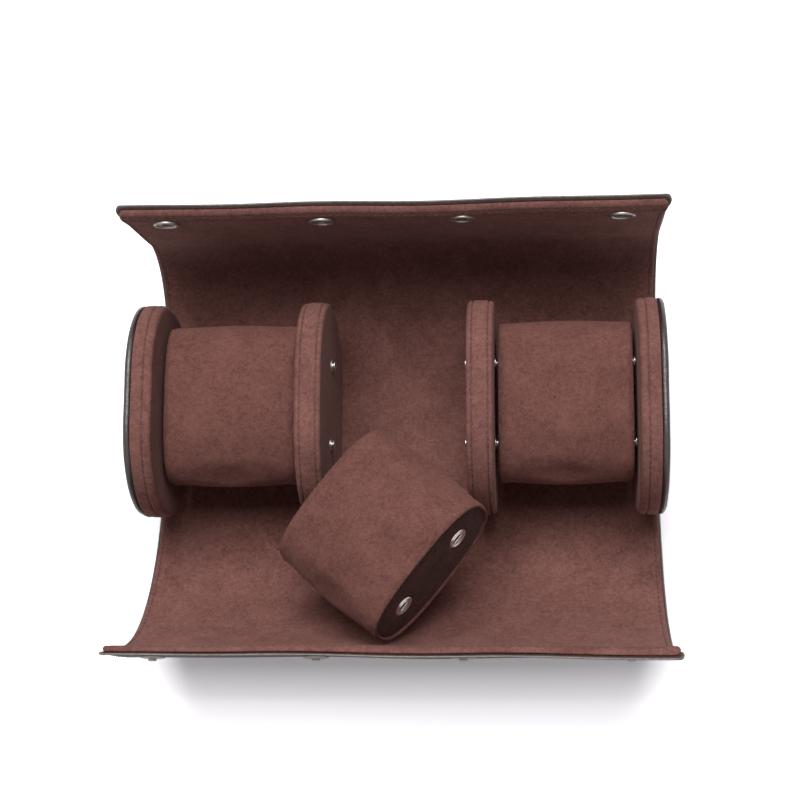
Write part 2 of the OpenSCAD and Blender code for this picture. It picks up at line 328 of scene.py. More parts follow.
def coated_leather(name, dark, light, rough, pebble, coat):
    """Dark brown leather: pebble grain with painted shade in its creases and painted light on
    its tops, finer pores, and patches where it is more polished."""
    finish, tree, shader, place = new_finish(name, rough)
    grain = add(tree, "TexVoronoi", Scale=1 / pebble, Randomness=0.9)
    grain.feature = "SMOOTH_F1"
    tree.links.new(place, grain.inputs["Vector"])
    pebbles = grain.outputs["Distance"]
    pores = noise(tree, place, 4200, 3, 0.6)
    patches = noise(tree, place, 46, 4, 0.55)
    dye = colour_ramp(tree, patches, dark, light, dark_at=0.32, light_at=0.72)
    # Painted shade in the creases between the pebbles, and painted light on their tops.
    painted_grain_shade = spread(tree, pebbles, 1.18, 0.62, From_Max=0.7)
    tree.links.new(scaled(tree, dye, painted_grain_shade), shader.inputs["Base Color"])
    polish = spread(tree, patches, rough - 0.07, rough + 0.1)
    tree.links.new(polish, shader.inputs["Roughness"])
    shader.inputs["Coat Weight"].default_value = coat
    shader.inputs["Coat Roughness"].default_value = 0.3
    join_bumps(tree, shader, [(pebbles, -0.3 * mm, 0.6), (pores, 0.06 * mm, 0.45)])
    return finish


def painted_edge(name, start, stop, tip):
    """The bead of edge paint on the leather's cut edge, along the sides of a length of
    sheet and round its free end."""
    middle = lining_top - leather_t + leather_t / 2 * (1 - pared_share)
    if tip:
        way = math.copysign(1, tip)
        path = [(-roll_half, s) for s in np.linspace(start, tip - way * corner_round, 12)]
        for a in np.linspace(0, math.pi / 2, 8)[1:]:
            in_x = corner_round * (1 - math.cos(a))
            in_s = corner_round * (1 - math.sin(a))
            path.append((in_x - roll_half, tip - way * in_s))
        path += [(x, tip) for x in np.linspace(corner_round - roll_half, 0, 30)[1:]]
        paths = [path + [(-x, s) for x, s in path[-2::-1]]]
    else:
        sides = np.linspace(start, stop, 20)
        paths = [[(side * roll_half, s) for s in sides] for side in (-1, 1)]
    points, faces = [], []
    around = 10
    for path in paths:
        faces += tube_faces(len(path), around, len(points))
        last = len(path) - 1
        for i, (x, s) in enumerate(path):
            dx = path[min(i + 1, last)][0] - path[max(i - 1, 0)][0]
            ds = path[min(i + 1, last)][1] - path[max(i - 1, 0)][1]
            size = math.hypot(dx, ds)
            for k in range(around):
                a = 2 * math.pi * k / around
                off = edge_paint_r * math.cos(a)
                spot = (x - off * ds / size, s + off * dx / size)
                points.append(wrap_point(*spot, middle + edge_paint_r * math.sin(a)))
    return closed_mesh(name, points, faces)


outer_leather = coated_leather(
    "outer_leather",
    dark=(0.036, 0.0165, 0.0125),
    light=(0.062, 0.03, 0.0235),
    rough=0.47,
    pebble=1.3 * mm,
    coat=0.02,
)
# The edge paint gets a light colour, which also paints in the highlight along the cut edge.
edge_paint_and_highlight = coated_leather(
    "edge_paint_and_highlight",
    dark=(0.13, 0.098, 0.09),
    light=(0.2, 0.155, 0.145),
    rough=0.3,
    pebble=1.6 * mm,
    coat=0.4,
)

strips = [
    # name, bodies that it lies on, s where it starts and stops, fold, CAD piece
    ("back", ("case_back",), -back_strip, back_strip, None, "back"),
]
flaps = (("front", -1, front_step, front_folds), ("rear", 1, rear_step, rear_folds))
for flap, way, step, count in flaps:
    start = back_strip
    before = "case_back"
    for i in range(1, count + 1):
        after = f"{flap}_flap_{i}"
        fold = back_half + (i - 1) * step
        stop = fold + step / 2
        strips.append((after, (before, after), way * start, way * stop, way * fold, after))
        start = stop
        before = after
    stop = back_half + count * step
    strips.append((f"{flap}_flap_lip", (before,), way * start, way * stop, None, None))


def carry(piece, bodies, fold):
    """The piece rides on one body. A piece at a fold between two bodies keeps its place,
    baked into its mesh. The front lip gets a mesh of its own."""
    if fold is None:
        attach(piece, bodies[0])
        if bodies[0] == "front_flap_5":
            face = Vector((0, *wrap_section(-front_end + lip_zone, 0)))
            under = Vector((0, *wrap_section(-front_end + lip_zone, lining_top)))
            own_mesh(piece)
        return
    step = front_step if fold < 0 else rear_step
    way = math.copysign(1, fold)
    first = bodies[0] == "case_back"
    before = fold - way * (first_bend if first else bend_share * step)
    after = fold + way * bend_share * step
    start = Vector((0, *wrap_section(before, lining_top / 2)))
    stop = Vector((0, *wrap_section(after, lining_top / 2)))
    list(bodies)
    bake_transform(piece)


def strip_tip(name):
    """Where the flap ends, for the length of sheet that has the free edge."""
    return {"front_flap_lip": -front_end, "rear_flap_lip": rear_end}.get(name, 0)


for name, bodies, start, stop, fold, cad in strips:
    tip = strip_tip(name)
    piece = sheet_mesh(
        f"{name}_leather",
        start,
        stop,
        roll_half,
        lining_top - leather_t,
        lining_top,
        leather_stitch_in,
        leather_groove,
        tip,
        pared_share,
    )
    piece.data.materials.append(outer_leather)
    if cad:
        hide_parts(cad.replace("flap_", "flap_leather_") if fold else "back_leather")
    carry(piece, bodies, fold)
    bead = painted_edge(f"{name}_edge_paint_and_highlight", start, stop, tip)
    bead.data.materials.append(edge_paint_and_highlight)
    carry(bead, bodies, fold)

# ---------------------------------------------------------------------------
# Suede lining
# Short-nap microsuede on a thin stiffener, glued to the leather and sewn to it
# all round. Its own rolled edge stops just short of the leather's edge. The
# nap is brushed by handling, so it is lighter and darker in soft patches.
# ---------------------------------------------------------------------------

lining_inset = roll_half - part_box("back_lining")[1].x
lip_inset = 0.4 * mm
lining_half = roll_half - lining_inset
glue_gap = 0.05 * mm
lining_t = lining_top - leather_t - glue_gap
lining_stitch_in = 2.0 * mm
lining_groove = 0.28 * mm
suede_patch = 13 * mm
stitch_pitch = 3.0 * mm
stitch_length = 2.1 * mm
stitch_stop = 1.5 * mm
corner_clear = 2.6 * mm
lip_clear = 5 * mm
thread_r = 0.2 * mm


def maths(tree, operation, *values):
    """The result of a sum in which each value is a number or a socket."""
    made = tree.nodes.new("ShaderNodeMath")
    made.operation = operation
    for entry, value in zip(made.inputs, values):
        if isinstance(value, float):
            entry.default_value = value
        else:
            tree.links.new(value, entry)
    return made.outputs[0]


def brushed_suede(name, dark, light, sheen, painted_side_shade=1.0):
    """Microsuede: brushed patches, a pile of fine specks, and a pink bloom at its edge.
    Faces square to X, such as a plate's flat sides, are darkened with painted shade."""
    finish, tree, shader, place = new_finish(name, 0.95, 0.12)
    patches = noise(tree, place, 1 / suede_patch, 5, 0.62, Distortion=0.6)
    pile = noise(tree, place, 1500, 4, 0.75)
    tufts = noise(tree, place, 520, 3, 0.6)
    fleck = maths(tree, "MULTIPLY", tufts, 0.4)
    fleck = maths(tree, "MULTIPLY_ADD", patches, 0.4, fleck)
    fleck = maths(tree, "MULTIPLY_ADD", pile, 0.8, fleck)
    dye = colour_ramp(tree, fleck, dark, light, dark_at=0.62, light_at=0.98)
    # Painted shade: the colour of faces square to X is scaled down.
    facing = tree.nodes.new("ShaderNodeSeparateXYZ")
    tree.links.new(place.node.outputs["Normal"], facing.inputs[0])
    sideways = maths(tree, "ABSOLUTE", facing.outputs["X"])
    tone = spread(tree, sideways, 1.0, painted_side_shade, From_Min=0.75)
    tree.links.new(scaled(tree, dye, tone), shader.inputs["Base Color"])
    shader.inputs["Sheen Weight"].default_value = sheen
    shader.inputs["Sheen Roughness"].default_value = 0.45
    shader.inputs["Sheen Tint"].default_value = (0.85, 0.5, 0.45, 1)
    join_bumps(tree, shader, [(tufts, 0.25 * mm, 0.4), (pile, 0.14 * mm, 0.5)])
    return finish


def mottle(tree, shader, value, colour, dark, light):
    """Colours the shader between two tones of one colour."""
    tones = [[c * tone for c in colour] for tone in (dark, light)]
    tree.links.new(colour_ramp(tree, value, *tones), shader.inputs["Base Color"])


def waxed_thread(name, colour):
    """Twisted thread: ridges across it and a slight shine from the wax."""
    finish, tree, shader, place = new_finish(name, 0.5, 0.4)
    twist = noise(tree, place, 6000, 2, 0.5)
    mottle(tree, shader, twist, colour, 0.7, 1.3)
    join_bumps(tree, shader, [(twist, 0.05 * mm, 0.5)])
    return finish


lining_suede = brushed_suede(
    "lining_suede", dark=(0.112, 0.045, 0.038), light=(0.268, 0.122, 0.104), sheen=0.14
)
brown_thread = waxed_thread("brown_thread", colour=(0.07, 0.03, 0.026))


def stitch_mesh(name, stitches, surface):
    """Stitches as short arched lengths of thread. Each is a point, a direction and the
    surface's own coordinates, and dips into the cloth at both ends."""
    points, faces = [], []
    stations = [(-1, -0.9, 0.5), (-0.72, 0.35, 1), (0, 0.7, 1.1), (0.72, 0.35, 1), (1, -0.9, 0.5)]
    around = 6
    for u, v, du, dv in stitches:
        faces += tube_faces(len(stations), around, len(points))
        for along, high, fat in stations:
            for k in range(around):
                a = 2 * math.pi * k / around
                off = thread_r * fat * math.cos(a)
                up = thread_r * (high + fat * math.sin(a))
                run = along * stitch_length / 2
                points.append(surface(u + run * du - off * dv, v + run * dv + off * du, up))
    return closed_mesh(name, points, faces)


def flap_stitches(way, tip, inset, half):
    """Stitches up one side of a flap, along its lip and down the other side."""
    x_line = half - inset
    s_line = tip - way * inset
    out = []
    sides = int((abs(s_line) - back_strip - stitch_stop) / stitch_pitch)
    for side in (-1, 1):
        for i in range(sides):
            s = s_line - way * (corner_clear + i * stitch_pitch)
            out.append((side * x_line, s, 0, 1))
    along = int((2 * x_line - lip_clear) / stitch_pitch)
    for i in range(along + 1):
        out.append(((i - along / 2) * stitch_pitch, s_line, 1, 0))
    return out


lining_stitches = flap_stitches(-1, -front_end + lip_inset, lining_stitch_in, lining_half)
lining_stitches += flap_stitches(1, rear_end - lip_inset, lining_stitch_in, lining_half)
leather_stitches = flap_stitches(-1, -front_end, leather_stitch_in, roll_half)
leather_stitches += flap_stitches(1, rear_end, leather_stitch_in, roll_half)
pared_face = lining_top - leather_t + 2 * pared(leather_t / 2, leather_stitch_in, pared_share)

for name, bodies, start, stop, fold, cad in strips:
    tip = strip_tip(name)
    if tip:
        tip -= math.copysign(lip_inset, tip)
        stop = tip
    piece = sheet_mesh(
        f"{name}_lining",
        start,
        stop,
        lining_half,
        0,
        lining_t,
        lining_stitch_in,
        lining_groove,
        tip,
    )
    piece.data.materials.append(lining_suede)
    if cad:
        inner = [cad.replace("flap_", "flap_lining_")] if fold else ["back_lining", "back_board"]
        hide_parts(*inner)
    carry(piece, bodies, fold)
    low, high = sorted((start, strip_tip(name) or stop))
    inside = [st for st in lining_stitches if low <= st[1] < high]
    outside = [st for st in leather_stitches if low <= st[1] < high]
    if not inside:
        continue
    for side, found, depth, up in (
        ("inner", inside, lining_groove, -1),
        ("outer", outside, pared_face - leather_groove, 1),
    ):
        row = stitch_mesh(
            f"{name}_{side}_stitches",
            found,
            lambda x, s, rise, depth=depth, up=up: wrap_point(x, s, depth + up * rise),
        )
        row.data.materials.append(brown_thread)
        carry(row, bodies, fold)

# ---------------------------------------------------------------------------
# End plates
# Each end of the roll is a board under a suede cover, with one seam round its
# rim. Outside it has a leather face with a piped edge, a cord rolled in leather
# that hides where the suede and the face are sewn together.
# ---------------------------------------------------------------------------

end_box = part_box("right_end_cover")
face_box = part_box("right_end_face")
plate_half_y = end_box[1].y
plate_half_z = (end_box[1].z - end_box[0].z) / 2
plate_mid_z = (end_box[1].z + end_box[0].z) / 2
plate_round = 34 * mm
end_in = end_box[0].x
end_rim = end_box[1].x - end_box[0].x
end_full = face_box[1].x - end_in
piping_r = (end_full - end_rim) / 2
end_seam = 3.7 * mm
seam_deep = 0.6 * mm
seam_wide = 0.32 * mm
plate_edge = 2.3 * mm
edge_gap = 0.2 * mm
turned_in = 3 * mm
rim_step = 0.25 * mm
rim_puff = 0.25 * mm
puff_run = 1.2 * mm
rim_uneven = 0.16 * mm
rim_pitch = 2.6 * mm
face_edge = 1.4 * piping_r
face_bulge = 0.35 * mm
face_turn = 3 * mm
# Of the leather face's shoulder: how far below its top, and how far in from its edge.
face_shoulder = ((0.9, 0), (0.35, 0.3), (0, 1.2))
corner_points = 22
side_points = 8


def plate_outline(inset):
    """The plates' rounded outline, (y, z) from their middle, with evenly spread points."""
    r = plate_round - inset
    cy = plate_half_y - plate_round
    cz = plate_half_z - plate_round
    signs = ((1, 1), (-1, 1), (-1, -1), (1, -1))
    spots = []
    for quarter, (sy, sz) in enumerate(signs):
        for i in range(corner_points + 1):
            a = (quarter + i / corner_points) * math.pi / 2
            spots.append((sy * cy + r * math.cos(a), sz * cz + r * math.sin(a)))
        ahead = signs[(quarter + 1) % 4]
        a = (quarter + 1) * math.pi / 2
        goal = (ahead[0] * cy + r * math.cos(a), ahead[1] * cz + r * math.sin(a))
        here = spots[-1]
        for i in range(1, side_points):
            t = i / side_points
            spots.append(tuple(h + (g - h) * t for h, g in zip(here, goal)))
    return np.array(spots)


def rim_softness(turn, x):
    """Slight unevenness of a hand-covered rim, round the plate and across it."""
    soft = math.sin(5 * turn + 0.7) * 0.5 + math.sin(11 * turn + x * 400) * 0.3
    return rim_uneven * (soft + 0.2 * math.sin(23 * turn))


def covered_plate(name, profile):
    """A plate from a profile of (x, inset, share), where share below 1 shrinks the
    outline towards the plate's middle. Both ends of the profile close in the middle."""
    points = []
    count = len(plate_outline(0))
    for x, inset, share in profile:
        for i, (y, z) in enumerate(plate_outline(inset)):
            turn = 2 * math.pi * i / count
            grow = 1 + rim_softness(turn, x) / plate_half_y if share > 0.9 else 1
            points.append((x, y * share * grow, plate_mid_z + z * share * grow))
    return closed_mesh(name, points, tube_faces(len(profile), count))


def rolled_edge(x, way, radius):
    """Profile from a flat face at x round an edge onto the rim."""
    spots = []
    for a in quarter_turn:
        spots.append((x + way * radius * (1 - math.cos(a)), radius * (1 - math.sin(a)), 1))
    return spots


def flat_face(x, radius):
    """Profile of a face from its middle to where its edge starts to turn."""
    shares = (0.04, 0.2, 0.4, 0.6, 0.75, 0.86, 0.93)
    return [(x, radius, share) for share in shares]


def rim_run(x_from, x_to, seams, puff):
    """Profile across the rim, puffed out a little between its sunk seams."""
    spots = []
    for x in np.linspace(x_from, x_to, int(abs(x_to - x_from) / rim_step) + 2):
        gap = min([abs(x - s) for s in seams] + [abs(x - x_to)])
        sunk = sum(pressed(abs(x - s), 0, seam_deep, seam_wide) for s in seams)
        spots.append((x, sunk - puff * (1 - math.exp(-gap / puff_run)), 1))
    return spots


def lengths_along(line):
    """How far along a line of points each of them lies."""
    steps = np.linalg.norm(np.diff(line, axis=0), axis=1)
    return np.concatenate([[0], np.cumsum(steps)])


def walk_round(ring):
    """The length of a closed outline, and what finds the place at a length along it."""
    closed = np.vstack([ring, ring[:1]])
    length = lengths_along(closed)

    def place(along):
        at = along % length[-1]
        return np.array([np.interp(at, length, closed[:, i]) for i in (0, 1)])

    return length[-1], place


def rim_stitches(name, x, sunk, body):
    """A row of stitches that lies in the seam at x round a plate."""
    total, place = walk_round(plate_outline(0))
    count = int(total / rim_pitch)
    feeler = 0.3 * mm

    def surface(across, along, rise):
        y, z = place(along)
        ty, tz = place(along % total + feeler) - (y, z)
        size = math.hypot(ty, tz)
        out = rise - sunk
        return (x + across, y + tz / size * out, plate_mid_z + z - ty / size * out)

    found = [(0, i * total / count, 0, 1) for i in range(count)]
    row = stitch_mesh(name, found, surface)
    row.data.materials.append(brown_thread)
    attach(row, body)


def hoop(name, side, x, mid_z, ring, radii, around):
    """A closed tube round an outline, at x on one side and with a radius at each point."""
    points, faces = [], []
    count = len(ring)
    for i, r in enumerate(radii):
        along = ring[(i + 1) % count] - ring[i - 1]
        along /= np.linalg.norm(along)
        out = np.array((along[1], -along[0]))
        j = (i + 1) % count
        for k in range(around):
            a = 2 * math.pi * k / around
            y, z = ring[i] + out * r * math.cos(a)
            points.append((side * (x + r * math.sin(a)), y, mid_z + z))
            m = (k + 1) % around
            faces.append((i * around + k, j * around + k, j * around + m, i * around + m))
    return closed_mesh(name, points, faces)


def piped_edge(name, side):
    """The piping: a leather tube round the plate, a little uneven along its length."""
    ring = plate_outline(piping_r)
    turns = [2 * math.pi * i / len(ring) for i in range(len(ring))]
    uneven = [1.02 + 0.025 * math.sin(7 * t) + 0.015 * math.sin(17 * t + 1) for t in turns]
    radii = [piping_r * share for share in uneven]
    return hoop(name, side, end_in + end_full - piping_r, plate_mid_z, ring, radii, 20)


piping_leather = coated_leather(
    "piping_leather",
    dark=(0.024, 0.015, 0.0135),
    light=(0.045, 0.028, 0.025),
    rough=0.3,
    pebble=0.7 * mm,
    coat=0.35,
)
# The flat sides of the plates and dividers get painted shade here.
plate_suede = brushed_suede(
    "plate_suede",
    dark=(0.12, 0.049, 0.042),
    light=(0.268, 0.123, 0.106),
    sheen=0.12,
    painted_side_shade=0.6,
)

for side, hand in ((-1, "left"), (1, "right")):
    seam = end_in + end_seam
    profile = flat_face(end_in, plate_edge) + rolled_edge(end_in, 1, plate_edge)
    profile += rim_run(end_in + plate_edge + edge_gap, end_in + end_rim, [seam], rim_puff)
    behind = end_in + end_rim + edge_gap
    profile += [(behind, turned_in / 2, 1), (behind, turned_in, 0.9), (behind, turned_in, 0.05)]
    cover = covered_plate(f"{hand}_end_suede", [(side * x, i, s) for x, i, s in profile])
    cover.data.materials.append(plate_suede)
    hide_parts(f"{hand}_end_cover")
    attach(cover, "case_back")
    rim_stitches(f"{hand}_end_seam_stitches", side * seam, seam_deep, "case_back")

    low = face_box[0].x
    top = end_in + end_full
    inner = face_edge + face_turn
    profile = [(low, face_edge, share) for share in (0.05, 0.9, 1)]
    profile += [(top - down * mm, face_edge + into * mm, 1) for down, into in face_shoulder]
    profile += [(top + 0.15 * mm, inner, 1)]
    profile += [(top + face_bulge, inner, share) for share in (0.85, 0.6, 0.35, 0.05)]
    face = covered_plate(f"{hand}_end_leather", [(side * x, i, s) for x, i, s in profile])
    face.data.materials.append(outer_leather)
    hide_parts(f"{hand}_end_face")
    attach(face, "case_back")

    piping = piped_edge(f"{hand}_end_piped_edge", side)
    piping.data.materials.append(piping_leather)
    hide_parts(f"{hand}_end_piping")
    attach(piping, "case_back")

# ---------------------------------------------------------------------------
# Dividers
# Two padded boards stand between the three bays. Each has a suede face on both
# sides and a suede band round its rim, so two seams run round it.
# ---------------------------------------------------------------------------

divider_seam = 2.2 * mm
divider_edge = 1.7 * mm
divider_gap = 0.1 * mm
divider_puff = 0.3 * mm

for hand in ("left", "right"):
    low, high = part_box(f"{hand}_divider_cover")
    seams = [low.x + divider_seam, high.x - divider_seam]
    rim_from = low.x + divider_edge + divider_gap
    rim_to = high.x - divider_edge - divider_gap
    profile = flat_face(low.x, divider_edge) + rolled_edge(low.x, 1, divider_edge)
    profile += rim_run(rim_from, rim_to, seams, divider_puff)
    profile += rolled_edge(high.x, -1, divider_edge)[::-1] + flat_face(high.x, divider_edge)[::-1]
    cover = covered_plate(f"{hand}_divider_suede", profile)
    cover.data.materials.append(plate_suede)
    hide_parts(f"{hand}_divider_cover")
    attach(cover, "case_back")
    for number, seam in enumerate(seams, 1):
        rim_stitches(f"{hand}_divider_seam_{number}_stitches", seam, seam_deep, "case_back")

# ---------------------------------------------------------------------------
# Watch cushions
# Three foam cushions, two in their bays and one lying loose on the front flap. A
# suede cover is drawn round the foam and sewn to a stiff end panel of darker
# suede, over which it turns in, so that it swells between its two end seams.
# ---------------------------------------------------------------------------

seat_low, seat_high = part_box("left_cushion_cover")
cushion_l = seat_high.x - seat_low.x
cushion_w = seat_high.y - seat_low.y
cushion_h = seat_high.z - seat_low.z
cushion_power = 2.7
cushion_round = 96
cushion_rings = 24
oval_steps = 2880
end_turn = 1.9 * mm
slack = 1.6 * mm
settle_frames = 20
sewn_margin = 0.1 * mm
swell_cap = 6 * mm
side_swell = 0.2 * mm
top_swell = 0.7 * mm
most_stretch = 1.06
welt_r = 0.55 * mm
welt_in = 0.1 * mm
socket_pitch = 34 * mm
socket_low, socket_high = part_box("left_cushion_sockets")
socket_r = (socket_high.z - socket_low.z) / 2
panel_sunk = 0.35 * mm
panel_gap = 0.2 * mm
panel_back = 1.9 * mm
socket_dip = 0.25 * mm
edge_dip = 0.5 * mm
hole_lap = 0.1 * mm
hole_deep = 6 * mm
panel_stitch_out = 0.4 * mm
panel_pitch = 2.3 * mm
loose_place = Vector((-4.6, -56, 70)) * mm
loose_turn = Euler([math.radians(a) for a in (2, -16, -39.5)], "XYZ")


def oval(inset, a):
    """A point of the cushion's flattened oval section, at an angle round it."""
    c, s = math.cos(a), math.sin(a)
    y = math.copysign(abs(c) ** (2 / cushion_power), c) * (cushion_w / 2 - inset)
    z = math.copysign(abs(s) ** (2 / cushion_power), s) * (cushion_h / 2 - inset)
    return np.array((y, z))


def even_oval(inset):
    """The same section with its points spread evenly round it."""
    turns = [2 * math.pi * i / oval_steps for i in range(oval_steps + 1)]
    fine = np.array([oval(inset, a) for a in turns])
    length = lengths_along(fine)
    at = np.linspace(0, length[-1], cushion_round + 1)[:-1]
    return np.stack([np.interp(at, length, fine[:, 0]), np.interp(at, length, fine[:, 1])], 1)


def slack_cover():
    """The cover before it swells: a tube that rolls over at its two ends and turns in."""
    half = cushion_l / 2
    roll = [(-2.4, 0.5), (-1.2, 0.55), (-0.5, 0.65), (0.05, 0.85), (0.45, 1.15), (0.65, 1.5)]
    roll += [(0.6, 1.85), (0.25, 2.1), (-0.4, 2.2), (-1.2, 2.25)]
    far_end = [(half + along * mm, slack * 0.5 + inset * mm * 0.75) for along, inset in roll]
    rings = [(-x, inset) for x, inset in far_end[::-1]]
    for t in np.linspace(-1, 1, cushion_rings)[1:-1]:
        rings.append((t * (half + roll[0][0] * mm), slack * (1 - 0.35 * (1 - t * t))))
    rings += far_end
    points = []
    for x, inset in rings:
        points += [(x, y, z) for y, z in even_oval(inset)]
    return closed_mesh("slack_cover", points, tube_faces(len(rings), cushion_round))


def swollen_places(cover):
    """Where the cover's points go when the foam presses it out between its end seams."""
    rest = np.array([v.co for v in cover.data.vertices])
    held = cover.vertex_groups.new(name="sewn ends")
    sewn = [i for i, p in enumerate(rest) if abs(p[0]) > cushion_l / 2 - sewn_margin]
    held.add(sewn, 1.0, "REPLACE")
    cloth = cover.modifiers.new("foam pressure", "CLOTH")
    settings = cloth.settings
    settings.use_pressure = True
    settings.uniform_pressure_force = 4
    settings.vertex_group_mass = "sewn ends"
    settings.tension_stiffness = 12
    settings.compression_stiffness = 12
    settings.bending_stiffness = 0.3
    settings.shrink_min = -0.018
    settings.effector_weights.gravity = 0
    cloth.point_cache.frame_start = 1
    cloth.point_cache.frame_end = settle_frames
    scene = bpy.context.scene
    for step in range(1, settle_frames + 1):
        scene.frame_set(step)
    shaped = cover.evaluated_get(bpy.context.evaluated_depsgraph_get())
    moved = np.array([v.co for v in shaped.data.vertices]) - rest
    cover.modifiers.remove(cloth)
    scene.frame_set(1)
    size = np.linalg.norm(moved, axis=1, keepdims=True)
    return rest + moved * np.minimum(1, swell_cap / np.maximum(size, 1e-9))


slack_tube = slack_cover()
swollen = swollen_places(slack_tube)
for axis, room in ((1, cushion_w / 2 + side_swell), (2, cushion_h / 2 + top_swell)):
    swollen[:, axis] *= min(room / np.abs(swollen[:, axis]).max(), most_stretch)
slack_tube.data.vertices.foreach_set("co", swollen.ravel())
open_tube = bmesh.new()
open_tube.from_mesh(slack_tube.data)
bmesh.ops.delete(
    open_tube, geom=[f for f in open_tube.faces if len(f.verts) > 4], context="FACES_ONLY"
)
open_tube.to_mesh(slack_tube.data)
open_tube.free()
slack_tube.modifiers.new("smooth", "SUBSURF").levels = 1
bpy.context.view_layer.update()
crowned_cover = bpy.data.meshes.new_from_object(
    slack_tube.evaluated_get(bpy.context.evaluated_depsgraph_get())
)
bpy.data.objects.remove(slack_tube)

cushion_suede = brushed_suede(
    "cushion_suede", dark=(0.104, 0.041, 0.0345), light=(0.216, 0.093, 0.078), sheen=0.12
)
panel_suede = brushed_suede(
    "panel_suede", dark=(0.04, 0.02, 0.0175), light=(0.1, 0.05, 0.044), sheen=0.06
)


def end_welt(name, side):
    """The crisp seam at a cushion's end, where the cover turns in over the panel."""
    ring = even_oval(end_turn)
    radii = [welt_r * (1 + 0.07 * math.sin(i * 1.7)) for i in range(len(ring))]
    return hoop(name, side, cushion_l / 2 - welt_in, 0, ring, radii, 10)


def end_panel(name, side):
    """The stiff suede panel in a cushion's end, pressed in round its two sockets."""
    points = []
    shares = (0.03, 0.12, 0.22, 0.32, 0.42, 0.52, 0.62, 0.71, 0.79, 0.86, 0.92, 0.97, 1)
    ring = even_oval(end_turn + panel_gap)
    face = cushion_l / 2 - panel_sunk + panel_gap
    for share in shares:
        for y, z in ring * share:
            near = min(abs(math.hypot(y - c * socket_pitch / 2, z) - socket_r) for c in (-1, 1))
            dip = socket_dip * math.exp(-near / mm) + edge_dip * share**12
            points.append((side * (face - dip), y, z))
    back = side * (cushion_l / 2 - panel_back)
    points += [(back, y, z) for y, z in ring]
    panel = closed_mesh(name, points, tube_faces(len(shares) + 1, len(ring)))
    for y in (-socket_pitch / 2, socket_pitch / 2):
        bpy.ops.mesh.primitive_cylinder_add(
            vertices=64,
            radius=socket_r - hole_lap,
            depth=hole_deep,
            location=(side * cushion_l / 2, y, 0),
            rotation=(0, math.pi / 2, 0),
        )
        punch = bpy.context.object
        cut = panel.modifiers.new("socket hole", "BOOLEAN")
        cut.object = punch
        cut.solver = "EXACT"
        bpy.context.view_layer.update()
        shaped = bpy.data.meshes.new_from_object(
            panel.evaluated_get(bpy.context.evaluated_depsgraph_get())
        )
        panel.modifiers.clear()
        panel.data = shaped
        bpy.data.objects.remove(punch)
    return panel


def panel_stitches(name, side):
    """Small stitches along the rolled end of the cover, where it is sewn to the panel."""
    total, place = walk_round(even_oval(end_turn))
    count = int(total / panel_pitch)

    def surface(across, along, rise):
        y, z = place(along) * (1 - across / (cushion_h / 2))
        return (side * (cushion_l / 2 + panel_stitch_out + rise), y, z)

    return stitch_mesh(name, [(0, i * total / count, 0, 1) for i in range(count)], surface)


seats = {
    "left_cushion": Matrix.Translation((seat_low + seat_high) / 2),
    "right_cushion": Matrix.Translation(sum(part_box("right_cushion_cover"), Vector()) / 2)
    @ Matrix.Rotation(math.pi, 4, "Z"),
    "loose_cushion": Matrix.Translation(loose_place) @ loose_turn.to_matrix().to_4x4(),
}
for body, seat in seats.items():
    cover = bpy.data.objects.new(f"{body}_suede", crowned_cover.copy())
    bpy.context.scene.collection.objects.link(cover)
    cover.data.materials.append(cushion_suede)
    pieces = [(cover, "suede_cushion", cushion_suede)]
    for side, hand in ((-1, "a"), (1, "b")):
        welt = end_welt(f"{body}_welt_{hand}", side)
        pieces.append((welt, "suede_cushion", cushion_suede))
        panel = end_panel(f"{body}_panel_{hand}", side)
        pieces.append((panel, "suede_end_panel", panel_suede))
        row = panel_stitches(f"{body}_panel_stitches_{hand}", side)
        pieces.append((row, "suede_end_panel", brown_thread))
        if side < 0:
            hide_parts(f"{body}_end_panels")
    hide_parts(f"{body}_cover", f"{body}_foam")
    for piece, finish_slot, finish in pieces:
        piece.data.materials.clear()
        piece.data.materials.append(finish)
        piece.data.transform(seat)
        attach(piece, body)

# ---------------------------------------------------------------------------
# Snaps
# Nickel-plated brass, set through suede and leather: the studs on the plates, the
# sockets in the cushions' ends, and the closure snaps near the flaps' lips, whose
# nickel is darkened as painted shade.
# ---------------------------------------------------------------------------


def nickel_plate(name, colour, rough):
    """Polished nickel with faint rubbed patches."""
    finish, tree, shader, place = new_finish(name, rough)
    shader.inputs["Metallic"].default_value = 1
    rubbed = noise(tree, place, 700, 4, 0.6)
    mottle(tree, shader, rubbed, colour, 0.82, 1)
    worn = spread(tree, rubbed, rough - 0.08, rough + 0.12)
    tree.links.new(worn, shader.inputs["Roughness"])
    return finish


nickel = nickel_plate("nickel", colour=(0.86, 0.83, 0.79), rough=0.3)
# A darker copy of the nickel: painted shade for the closure snaps near the flaps' lips.
shaded_nickel = nickel_plate("shaded_nickel", colour=(0.4, 0.36, 0.34), rough=0.38)
for node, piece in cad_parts.items():
    if node.endswith(("studs", "sockets", "caps")):
        piece.data.materials.clear()
        piece.data.materials.append(shaded_nickel if "flap" in node else nickel)

# ---------------------------------------------------------------------------
# Boards and foam
# Pressed grey board stiffens the plates, the dividers and the back, and foam
# fills the cushions. They lie inside the covers and show if one is taken off.
# ---------------------------------------------------------------------------


def fibre_board(name, colour, size):
    """Pressed fibre: flecks in a plain colour."""
    finish, tree, shader, place = new_finish(name, 0.9, 0.2)
    flecks = noise(tree, place, 1 / size, 6, 0.7)
    mottle(tree, shader, flecks, colour, 0.75, 1)
    join_bumps(tree, shader, [(flecks, 0.2 * mm, 0.5)])
    return finish


